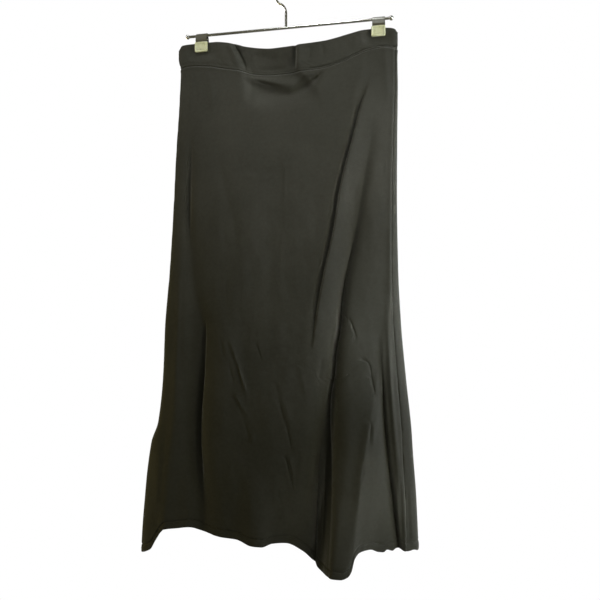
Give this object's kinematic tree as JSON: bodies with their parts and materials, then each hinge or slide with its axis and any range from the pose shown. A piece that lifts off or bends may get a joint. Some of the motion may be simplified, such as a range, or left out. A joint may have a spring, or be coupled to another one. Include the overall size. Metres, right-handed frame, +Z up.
{
  "type": "maxi skirt on a clip hanger",
  "caption": "Long flared jersey skirt with a wide elastic waistband, hung by its waistband from a wire hanger with padded clips; rigid folds, open waist and hem.",
  "frame": {"origin": "the top of the hook's inside, where a rail carries the hanger", "axes": "+Z up, -Y out of the skirt's front, +X to the right as seen from the front, along the hanger's bar"},
  "size_m": [0.5257, 0.1597, 1.0744],
  "materials": {
    "jersey": "matt fine knit with a faint sheen",
    "plated_steel": "bright plated",
    "vinyl": "soft satin"
  },
  "bodies": {
    "root": {"front_panel": "jersey", "back_panel": "jersey", "waistband": "jersey", "bar": "plated_steel", "bar_ball_left": "plated_steel", "bar_ball_right": "plated_steel", "hook": "plated_steel", "clip_left": "plated_steel", "clip_right": "plated_steel", "tip_left_front": "vinyl", "tip_left_back": "vinyl", "tip_right_front": "vinyl", "tip_right_back": "vinyl"}
  },
  "joints": []
}
